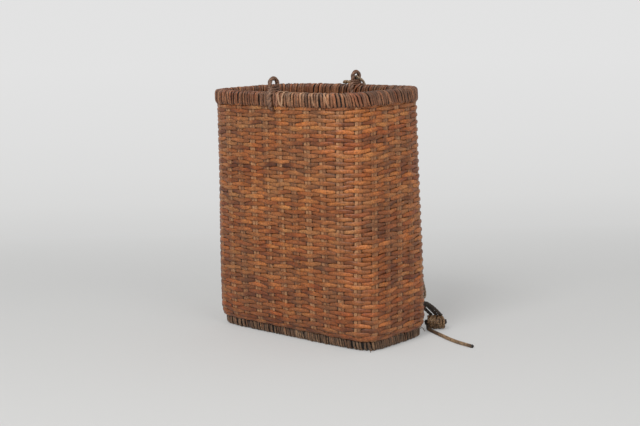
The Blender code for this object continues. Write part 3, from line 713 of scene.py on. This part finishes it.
def rope(line, diameter, plies, lay, joined=False, sides=18, tone=0.5, groove=0.30):
    """Strands laid up together along a line: one skin with a groove between each two. The lay
    is the way that one turn takes, and a joined rope closes on itself."""
    if joined:
        along = unit(np.roll(line, -1, axis=0) - np.roll(line, 1, axis=0))
    else:
        along = unit(np.gradient(line, axis=0))
    spoke = np.cross(along[0], [0.31, 0.17, 0.93])
    spokes = []
    for way in along:
        spoke = spoke - way * np.dot(spoke, way)
        spoke = spoke / np.linalg.norm(spoke)
        spokes.append(spoke)
    spokes = np.array(spokes)
    gone = np.append(0, np.cumsum(np.linalg.norm(np.diff(line, axis=0), axis=1)))
    twist = math.tau * gone / lay
    if joined:
        whole = gone[-1] + np.linalg.norm(line[0] - line[-1])
        end = spokes[-1] - along[0] * np.dot(spokes[-1], along[0])
        end = end / np.linalg.norm(end)
        off = math.atan2(np.dot(np.cross(spokes[0], end), along[0]), np.dot(spokes[0], end))
        turns = round(whole / lay * plies) / plies
        twist = (math.tau * turns - off) * gone / whole
    angle = np.linspace(0, math.tau, sides, endpoint=False)
    # Painted shade in the grooves between the strands.
    deep = 1 - np.abs(np.cos(plies * angle / 2)) ** 0.7
    radius = diameter / 2 * (1 - groove * deep)
    turned = angle[None] + twist[:, None]
    others = np.cross(along, spokes)
    arms = spokes[:, None] * np.cos(turned)[..., None] + others[:, None] * np.sin(turned)[..., None]
    tone = np.broadcast_to(tone, len(line))
    fibre_along = gone[:, None] + angle[None] * lay / math.tau * 0.4
    return {
        "points": line[:, None] + arms * radius[None, :, None],
        "fibre": np.stack([fibre_along, angle[None] * 0.001 + 0 * turned, 0 * turned], -1),
        "stain": 1 + 0 * arms,
        "tone": tone[:, None] + 0 * turned,
        "painted_shade": deep[None] + 0 * turned,
        "joined": joined,
    }


def ring_line(place):
    """The middle line of a ring, from under the rim up its two legs to the arch."""
    points = []
    quarter = math.pi / 2
    for centre, start in ((INNER_LEG + RING_TURN, -2 * quarter), (OUTER_LEG - RING_TURN, -quarter)):
        for angle in np.linspace(start, start + quarter, 4):
            points.append((centre + RING_TURN * math.cos(angle), RING_PASS + RING_TURN * (1 + math.sin(angle))))
    neck, arch = HEIGHT + 0.0045, HEIGHT + RING_RISE - RING_ROD / 2 - RING_NECK
    points += [(OUTER_LEG, HEIGHT - 0.0020), (RING_MIDDLE + RING_NECK, neck)]
    for angle in np.linspace(0, math.pi, 9):
        points.append((RING_MIDDLE + RING_NECK * math.cos(angle), arch + RING_NECK * math.sin(angle)))
    points += [(RING_MIDDLE - RING_NECK, neck), (INNER_LEG, HEIGHT - 0.0020)]
    return smooth_line([by_the_rim(place, outward, height) for outward, height in points], 0.0008, joined=True)


def neck_lashing(place, turns, top, tone):
    """A strip wound round both legs of a ring, from the rim up to the foot of its eye."""
    turn = np.linspace(0, turns, turns * 16 + 1)
    height = HEIGHT - 0.0015 + (top + 0.0015) * turn / turns
    centre, out = [], []
    for angle, up in zip(math.tau * turn + 0.8, height):
        outward, aside = powered(math.cos(angle), 0.7), powered(math.sin(angle), 0.7)
        middle = by_the_rim(place, RING_MIDDLE, up)
        facing = LASHED_OUT * powered(outward, 3.0), LASHED_OUT * powered(aside, 3.0)
        centre.append(by_the_rim(place, RING_MIDDLE + LASHED_OUT * outward, up, LASHED_ASIDE * aside))
        out.append(by_the_rim(place, RING_MIDDLE + facing[0], up, facing[1]) - middle)
    out = unit(np.array(out))
    # Painted shade along both edges of the strip.
    return strip(np.array(centre), out, NECK_STRIP_WIDTH, NECK_STRIP_THICKNESS, DOMED,
                 tone=tone, number=place, edge_shade=0.6)


def end_bundle(place, reach, turns):
    """The strip ends beside the back ring, wound into a small two-lobed knob on the rim."""
    turn = np.linspace(0, turns, turns * 18 + 1)
    share = turn / turns
    waist = 1 - 0.45 * np.exp(-(((share - 0.5) / 0.12) ** 2))
    fat = 0.0034 * waist * np.sin(math.pi * (0.12 + 0.76 * share)) ** 0.5
    centre, out = [], []
    for angle, along, radius in zip(math.tau * turn, reach * (share - 0.5), fat):
        side, rise = radius * math.cos(angle), radius * math.sin(angle)
        middle = by_the_rim(place, RING_MIDDLE, HEIGHT + KNOB_ABOVE, along)
        point = by_the_rim(place, RING_MIDDLE + side, HEIGHT + KNOB_ABOVE + rise, along)
        centre.append(point)
        out.append(point - middle)
    # Painted shade along both edges of the strip.
    return strip(np.array(centre), unit(np.array(out)), 0.0046, 0.0013, DOMED, tone=0.7, number=3.3,
                 stain=(0.95, 1.08, 0.95), edge_shade=0.7)


ring_look = cane_material(
    "ring cane", (0.070, 0.034, 0.020), (0.205, 0.098, 0.056), (0.360, 0.208, 0.132), (0.145, 0.094, 0.064),
    weathering=0.4, painted_darkening=0.55, contrast=1.2,
)
for name, place in (("front_ring", FRONT_PLACE), ("back_ring", BACK_PLACE)):
    twisted = rope(ring_line(place), RING_ROD + 0.0007, 2, 0.017, joined=True, sides=20, tone=0.48, groove=0.24)
    pieces = [twisted, neck_lashing(place, 3, 0.0088, 0.45)]
    if name == "front_ring":
        pieces += [
            lashing(place - 0.24, 0.0, -0.14, 0.35, 0.0042, (0.80, 0.74, 0.70), 0.0024),
            lashing(place - 0.13, 0.0, -0.10, 0.60, 0.0036, (1.0, 0.90, 0.80), 0.0030),
            lashing(place + 0.14, 0.0, 0.12, 0.50, 0.0040, (0.95, 0.78, 0.68), 0.0030),
            lashing(place + 0.32, -0.10, 0.10, 0.85, 0.0042, (1.25, 1.0, 0.92), 0.0022),
            lashing(place + 0.62, 0.16, -0.05, 0.95, 0.0046, (1.35, 1.30, 1.15), 0.0020),
            lashing(place + 0.76, -0.12, 0.05, 0.95, 0.0044, (1.35, 1.30, 1.15), 0.0022),
        ]
    else:
        pieces += [
            lashing(place - 0.10, 0.34, 0.0, 0.55, 0.0040, (1.0, 0.80, 0.70), 0.0026),
            lashing(place + 0.02, -0.34, 0.0, 0.75, 0.0040, (1.1, 0.92, 0.80), 0.0034),
            lashing(place + 0.30, 0.22, 0.0, 0.45, 0.0040, (0.9, 0.75, 0.65), 0.0022),
            end_bundle(place + 0.60, 0.0200, 5),
        ]
    ring = strips_object(name + "_canes", pieces, ring_look)
    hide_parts(name)


# ## Carrying cord
# A three-strand cord of plant fibre, limp and pale. It comes out of the weave behind one
# corner of the foot, runs up the back through the eye of the back ring, and down again to
# the other corner.

CORD = 0.0050
CORD_LEG_SHARES = (
    (0.911, 0.150), (0.911, 0.151), (0.903, 0.163), (0.888, 0.184), (0.832, 0.246),
    (0.707, 0.362), (0.571, 0.506), (0.431, 0.649), (0.284, 0.792), (0.168, 0.913),
)
CORD_OFF_WEAVE = (0.0009, 0.0042, 0.0060, 0.0062, 0.0056, 0.0048, 0.0044, 0.0041, 0.0047, 0.0089)
CORD_AT_RIM = (
    (0.0142, 0.0105, -0.0105), (0.0090, 0.0100, 0.0003), (0.0073, 0.0068, 0.0064), (0.0046, 0.0014, 0.0108),
)


def behind(share, off, height_share):
    """The point this far off the back of the weave, at shares of the half length and height."""
    height = HEIGHT * height_share
    squareness = at_height(height, *SQUARENESSES)
    across = (1 - abs(share) ** squareness) ** (1 / squareness)
    point, _ = skin(np.array([height]), np.array([math.atan2(across, share)]), np.array([-off]))
    return point[0]


def cord_line():
    right, left = [], []
    for (share, height), off in zip(CORD_LEG_SHARES, CORD_OFF_WEAVE):
        right.append(behind(share, off, height))
        left.append(behind(-share, off, height))
    for aside, outward, above in CORD_AT_RIM:
        right.append(by_the_rim(BACK_PLACE, outward, HEIGHT + above, -aside))
        left.append(by_the_rim(BACK_PLACE, outward, HEIGHT + above, aside))
    in_eye = HEIGHT + RING_RISE - RING_ROD - 0.0022 - CORD / 2
    eye = by_the_rim(BACK_PLACE, RING_MIDDLE, in_eye)
    return smooth_line([*right, eye, *reversed(left)], 0.0012)


cord_look = cane_material(
    "tan cord", (0.150, 0.095, 0.055), (0.290, 0.200, 0.125), (0.440, 0.340, 0.235), (0.200, 0.165, 0.130),
    painted_darkening=0.65, contrast=0.9, relief=0.0003,
)
line = cord_line()
carrying_cord = strips_object("carrying_cord_rope", [rope(line, CORD, 3, 0.016, tone=0.6)], cord_look)
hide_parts("carrying_cord")


# ## Tie strands, knot and loose end
# Three dark strands come out of the weave behind the right corner and go down into a knot
# on the ground, wound five times round with a stout strand whose end lies away to the right.

TIE_SHARES = ((0.862, 0.112), (0.884, 0.120), (0.905, 0.128))
TIE_PLACES = ((0.0090, -0.0022), (0.0176, -0.0002), (0.0258, 0.0018))
TIE_STRAND = 0.0040
KNOT_STRAND = 0.0048
KNOT_TURNS = 5
KNOT_PITCH = 0.0055
KNOT_END_RADIUS = 0.0072
KNOT_SWELL = 0.0028
OFF_GROUND = 0.0003
KNOT_HEIGHT = OFF_GROUND + KNOT_STRAND / 2 + KNOT_END_RADIUS + KNOT_SWELL
FOOT_CORNER = (0.181, 0.082)
TAIL_ROUTE = (
    (-0.0037, 0.0092), (0.0120, 0.0018), (0.0298, -0.0065), (0.0475, -0.0146),
    (0.0649, -0.0210), (0.0850, -0.0264), (0.1053, -0.0301),
)


def behind_the_corner(place, height):
    return np.array([FOOT_CORNER[0] + place[0], FOOT_CORNER[1] + place[1], height])


KNOT_FROM = behind_the_corner((-0.0300, 0.0225), KNOT_HEIGHT)
KNOT_TO = behind_the_corner((-0.0040, 0.0455), KNOT_HEIGHT)
KNOT_LENGTH = float(np.linalg.norm(KNOT_TO - KNOT_FROM))
KNOT_ALONG = (KNOT_TO - KNOT_FROM) / KNOT_LENGTH
KNOT_UP = np.array([0, 0, 1.0])
KNOT_ACROSS = np.cross(KNOT_ALONG, KNOT_UP)
KNOT_FIRST = (KNOT_LENGTH - KNOT_TURNS * KNOT_PITCH) / 2


def knot_radius(share):
    return KNOT_END_RADIUS + KNOT_SWELL * np.sin(math.pi * np.clip(share, 0, 1))


def knot_line():
    turn = np.linspace(0, KNOT_TURNS, KNOT_TURNS * 64 + 1)
    way = KNOT_FIRST + KNOT_PITCH * turn
    angle = math.tau * turn
    radius = knot_radius(way / KNOT_LENGTH) + 0.0002 * np.sin(3.1 * turn * math.tau / 2.3)
    way = way + 0.0011 * np.sin(angle * 0.37 + 1) * np.sin(angle)
    spoke = KNOT_ACROSS * np.cos(angle)[:, None] + KNOT_UP * np.sin(angle)[:, None]
    return KNOT_FROM + KNOT_ALONG * way[:, None] + spoke * radius[:, None]


def tail_line():
    """From the last winding down to the ground, and away to the right."""
    top = KNOT_FROM + KNOT_ALONG * KNOT_FIRST + KNOT_ACROSS * knot_radius(KNOT_FIRST / KNOT_LENGTH)
    turn = KNOT_HEIGHT - CORD / 2 - OFF_GROUND
    points = [top - KNOT_UP * 0.0012]
    for angle in (math.pi / 6, math.pi / 3):
        points.append(top + KNOT_ACROSS * turn * (1 - math.cos(angle)) - KNOT_UP * turn * math.sin(angle))
    points += [behind_the_corner(place, CORD / 2 + OFF_GROUND) for place in TAIL_ROUTE]
    return smooth_line(points, 0.0012)


def tie_line(number):
    """From the weave out behind the corner, and down into the knot."""
    way, aside = TIE_PLACES[number]
    first = behind(TIE_SHARES[number][0], 0.0009, TIE_SHARES[number][1])
    rise = knot_radius(way / KNOT_LENGTH) + KNOT_STRAND / 2 + 0.0016
    last = KNOT_FROM + KNOT_ALONG * way + KNOT_ACROSS * aside + KNOT_UP * rise
    lift, drop = np.array((0.0030, 0.0095, -0.0028)), np.array((-0.0026, -0.0150, 0.0140))
    return smooth_line([first, first + lift, last + drop, last], 0.0012)


dark_cord_look = cane_material(
    "dark cord", (0.016, 0.010, 0.007), (0.042, 0.027, 0.018), (0.095, 0.066, 0.045), (0.060, 0.045, 0.034),
    weathering=0.4, painted_darkening=0.6, contrast=0.9, relief=0.0003,
)
knot_look = cane_material(
    "knot cord", (0.035, 0.018, 0.008), (0.210, 0.115, 0.052), (0.430, 0.280, 0.150), (0.120, 0.078, 0.046),
    weathering=0.35, painted_darkening=0.9, contrast=1.7, relief=0.0003,
)


def crossing_loop(share, slant, lead, radius):
    """A strand drawn once round the knot across its windings."""
    angle = np.linspace(0, math.tau, 60, endpoint=False)
    spoke = KNOT_ACROSS * np.cos(angle)[:, None] + KNOT_UP * np.sin(angle)[:, None]
    way = KNOT_LENGTH * share + slant * np.sin(angle + lead)
    radius = radius + 0.0004 * np.sin(3 * angle + lead)
    return KNOT_FROM + KNOT_ALONG * way[:, None] + spoke * radius[:, None]


knot_rng = np.random.default_rng(44)
knot_strands = [rope(knot_line(), KNOT_STRAND + 0.0006, 3, 0.011, sides=16, tone=0.5)]
for share, slant, lead in ((0.30, 0.006, 0.4), (0.42, 0.009, 2.2), (0.50, 0.010, 4.1), (0.60, 0.008, 5.4),
                           (0.72, 0.006, 1.3), (0.50, 0.0125, 3.0), (0.36, 0.010, 0.9), (0.66, 0.010, 3.6)):
    loop = crossing_loop(share, slant, lead, knot_rng.uniform(0.0098, 0.0106))
    thick, tone = knot_rng.uniform(0.0034, 0.0042), knot_rng.uniform(0.1, 0.9)
    knot_strands.append(rope(loop, thick, 2, 0.009, joined=True, sides=12, tone=tone))
knot = strips_object("knot_windings", knot_strands, knot_look)
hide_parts("knot_wrapping")

core_rng = np.random.default_rng(31)
core_strands = []
for number in range(9):
    angle, far = math.tau * number / 8, (0.0 if number == 8 else 0.0030)
    offset = (KNOT_ACROSS * math.cos(angle) + KNOT_UP * math.sin(angle)) * far
    reach = KNOT_FIRST - KNOT_STRAND / 2 - core_rng.uniform(0.0010, 0.0032)
    ways = (reach, KNOT_LENGTH * 0.5, KNOT_LENGTH - reach)
    wide = (1.0, 1.5, 1.0)
    points = [KNOT_FROM + KNOT_ALONG * way + offset * more for way, more in zip(ways, wide)]
    tone = core_rng.uniform(0.2, 0.8)
    core_strands.append(rope(smooth_line(points, 0.0015), 0.0030, 2, 0.010, sides=10, tone=tone))
knot_core = strips_object("knot_core_strands", core_strands, dark_cord_look)
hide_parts("knot_core")

for number in range(3):
    line = tie_line(number)
    into = unit(line[-1] - line[-2]) * 0.0012
    longer = np.vstack([line, line[-1] + into, line[-1] + 2 * into])
    tie = strips_object(
        f"tie_strand_{number + 1}_rope", [rope(longer, TIE_STRAND + 0.0018, 2, 0.014, sides=14)], dark_cord_look
    )
    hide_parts(f"tie_strand_{number + 1}")

line = tail_line()
tail_tone = np.interp(np.linspace(0, 1, len(line)), (0, 0.3, 0.42, 0.9, 0.97, 1), (0.1, 0.15, 0.75, 0.8, 0.3, 0.1))
tail_rope = rope(line, CORD + 0.0014, 3, 0.011, tone=tail_tone, groove=0.34)
tail = strips_object("cord_tail_rope", [tail_rope], knot_look)
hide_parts("cord_tail")


# ## Studio
# A pale sweep of paper under and behind the basket, which glows for the camera with painted
# light, fully on its far part and darker near the basket than far back, a soft light from
# the front and above, a weaker one from the right, and the camera a little above the rim.

bpy.ops.object.select_all(action="DESELECT")
bpy.ops.mesh.primitive_plane_add(size=1.0, location=(0, 0, 0))
sweep = bpy.context.object
sweep.name = "paper_sweep"
bm = bmesh.new()
SWEEP_TURN = math.radians(41.9)
backward = np.array([-math.sin(SWEEP_TURN), math.cos(SWEEP_TURN)])
sideways = np.array([backward[1], -backward[0]])
profile = [(-4.0, 0.0), (0.0, 0.0), (1.6, 0.0), (2.0, 0.03), (2.3, 0.12), (2.6, 0.35), (2.75, 0.8), (2.8, 3.0)]
rows = []
for far, up in profile:
    ends = [backward * far + sideways * aside for aside in (-6.0, 6.0)]
    rows.append([bm.verts.new((end[0], end[1], up)) for end in ends])
for low, high in zip(rows, rows[1:]):
    bm.faces.new((low[0], low[1], high[1], high[0]))
bm.to_mesh(sweep.data)
bm.free()
sweep.data.shade_smooth()
paper = bpy.data.materials.new("pale paper")
paper.use_nodes = True
tree = paper.node_tree
shader = tree.nodes["Principled BSDF"]
shader.inputs["Base Color"].default_value = (0.645, 0.645, 0.635, 1)
shader.inputs["Roughness"].default_value = 0.9
shader.inputs["Specular IOR Level"].default_value = 0.1
# Painted light: for the camera and in reflections the paper glows, darker near the basket and paler far back; near
# the basket only a third of it is glow, so the lamps' shadow still shows.
spot = node(tree, "ShaderNodeTexCoord").outputs["Object"]
far = node(tree, "ShaderNodeVectorMath", {0: spot, 1: (*backward, 0.8)}, operation="DOT_PRODUCT").outputs["Value"]
reach = node(tree, "ShaderNodeMapRange", {"Value": far, "From Min": 0.4, "From Max": 2.9}).outputs["Result"]
level = node(tree, "ShaderNodeValToRGB", {"Fac": reach})
ramp = level.color_ramp.elements
ramp[0].position, ramp[0].color = 0.0, (0.585, 0.585, 0.58, 1)
ramp[1].position, ramp[1].color = 1.0, (0.765, 0.765, 0.765, 1)
ramp.new(0.45).color = (0.69, 0.69, 0.685, 1)
distant = node(tree, "ShaderNodeMapRange", {"Value": far, "From Min": 0.15, "From Max": 1.0, "To Min": 0.35})
rays = node(tree, "ShaderNodeLightPath").outputs
reflected = node(
    tree, "ShaderNodeMath", {0: rays["Is Glossy Ray"], 1: rays["Is Transmission Ray"]}, operation="MAXIMUM"
)
seen = node(tree, "ShaderNodeMath", {0: rays["Is Camera Ray"], 1: reflected.outputs[0]}, operation="MAXIMUM")
shown = node(tree, "ShaderNodeMath", {0: seen.outputs[0], 1: distant.outputs["Result"]}, operation="MULTIPLY")
glow = node(tree, "ShaderNodeEmission", {"Color": level.outputs["Color"]}, Strength=1.0)
blend = node(
    tree, "ShaderNodeMixShader", {0: shown.outputs[0], 1: shader.outputs["BSDF"], 2: glow.outputs["Emission"]}
)
tree.links.new(blend.outputs["Shader"], tree.nodes["Material Output"].inputs["Surface"])
sweep.data.materials.append(paper)

world = bpy.data.worlds.new("soft studio")
bpy.context.scene.world = world
world.use_nodes = True
sky = world.node_tree.nodes["Background"].inputs
sky["Color"].default_value = (1.0, 1.0, 1.0, 1)
sky["Strength"].default_value = 0.52


def soft_light(name, place, size, power):
    """A square lamp that looks at the middle of the basket."""
    lamp = bpy.data.lights.new(name, "AREA")
    lamp.shape = "SQUARE"
    lamp.size = size
    lamp.energy = power
    made = bpy.data.objects.new(name, lamp)
    made.location = place
    made.rotation_euler = (Vector((0, 0, 0.2)) - Vector(place)).to_track_quat("-Z", "Y").to_euler()
    bpy.context.scene.collection.objects.link(made)


soft_light("front light", (0.5, -2.2, 2.5), 1.4, 62)
soft_light("right light", (2.6, -0.6, 1.6), 1.4, 18)

AZIMUTH, ELEVATION, ROLL = (math.radians(v) for v in (41.9357, 9.0241, -1.34))
CAMERA_PLACE = (1.42865, -1.58488, 0.54374)
FOCAL_PIXELS, PHOTO_PIXELS, SENSOR = 1250, 640, 36
back = Vector(
    (math.sin(AZIMUTH) * math.cos(ELEVATION), -math.cos(AZIMUTH) * math.cos(ELEVATION), math.sin(ELEVATION))
)
level_right = Vector((math.cos(AZIMUTH), math.sin(AZIMUTH), 0))
level_up = back.cross(level_right)
right = level_right * math.cos(ROLL) + level_up * math.sin(ROLL)
upright = level_up * math.cos(ROLL) - level_right * math.sin(ROLL)
eye = bpy.data.cameras.new("photo camera")
eye.sensor_fit = "HORIZONTAL"
eye.sensor_width = SENSOR
eye.lens = FOCAL_PIXELS / PHOTO_PIXELS * SENSOR
camera = bpy.data.objects.new("photo camera", eye)
turned = Matrix((right, upright, back)).transposed()
camera.matrix_world = Matrix.Translation(CAMERA_PLACE) @ turned.to_4x4()
bpy.context.scene.collection.objects.link(camera)
bpy.context.scene.camera = camera
bpy.context.scene.view_settings.view_transform = "Standard"
